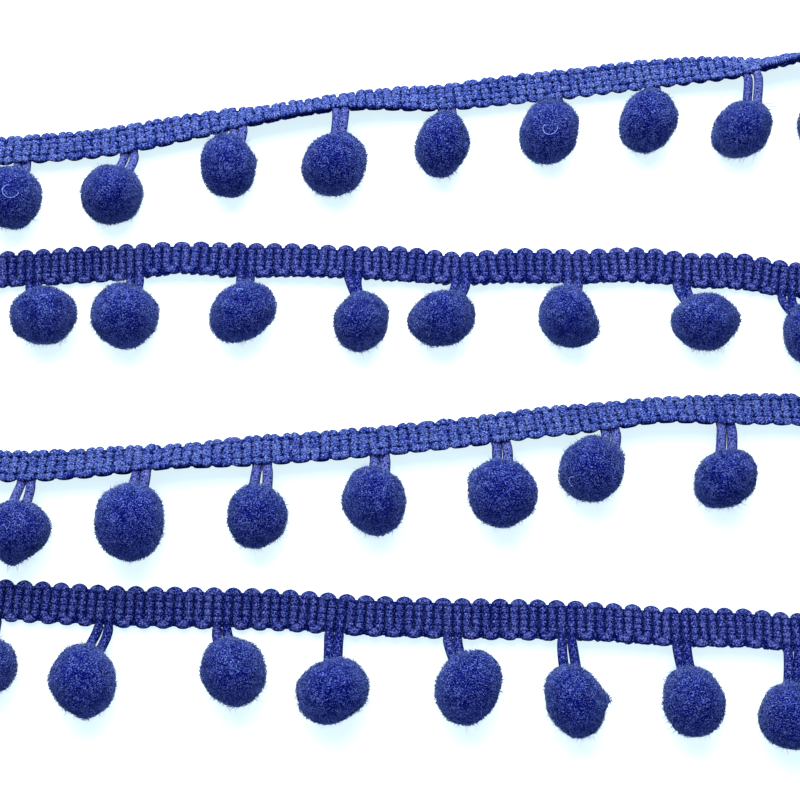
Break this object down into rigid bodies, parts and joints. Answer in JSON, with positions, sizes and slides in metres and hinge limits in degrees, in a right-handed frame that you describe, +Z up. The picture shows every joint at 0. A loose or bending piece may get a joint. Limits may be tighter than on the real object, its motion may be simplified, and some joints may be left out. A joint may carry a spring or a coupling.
{
  "type": "pom-pom trim",
  "caption": "Cut length of scalloped blue braid with round pile pompoms hung on cord legs along one edge, laid back and forth in level passes.",
  "frame": {"origin": "on the surface the trim lies on, under the middle of its box", "axes": "+X along the passes, +Y from the pompoms towards the braid's plain edge, +Z up"},
  "size_m": [0.2044, 0.1148, 0.0107],
  "materials": {
    "braid_cord": "soft filament cord, slightly lustrous",
    "pompom_pile": "dense clipped pile, matt"
  },
  "bodies": {
    "root": {"braid": "braid_cord", "pompom_01": "pompom_pile", "pompom_02": "pompom_pile", "pompom_03": "pompom_pile", "pompom_04": "pompom_pile", "pompom_05": "pompom_pile", "pompom_06": "pompom_pile", "pompom_07": "pompom_pile", "pompom_08": "pompom_pile", "pompom_09": "pompom_pile", "pompom_10": "pompom_pile", "pompom_11": "pompom_pile", "pompom_12": "pompom_pile", "pompom_13": "pompom_pile", "pompom_14": "pompom_pile", "pompom_15": "pompom_pile", "pompom_16": "pompom_pile", "pompom_17": "pompom_pile", "pompom_18": "pompom_pile", "pompom_19": "pompom_pile", "pompom_20": "pompom_pile", "pompom_21": "pompom_pile", "pompom_22": "pompom_pile", "pompom_23": "pompom_pile", "pompom_24": "pompom_pile", "pompom_25": "pompom_pile", "pompom_26": "pompom_pile", "pompom_27": "pompom_pile", "pompom_28": "pompom_pile", "pompom_29": "pompom_pile", "pompom_30": "pompom_pile", "pompom_31": "pompom_pile", "pompom_32": "pompom_pile", "pompom_33": "pompom_pile", "pompom_34": "pompom_pile", "pompom_35": "pompom_pile", "pompom_36": "pompom_pile", "pompom_37": "pompom_pile", "pompom_38": "pompom_pile", "pompom_39": "pompom_pile", "pompom_40": "pompom_pile", "pompom_41": "pompom_pile"}
  },
  "joints": []
}
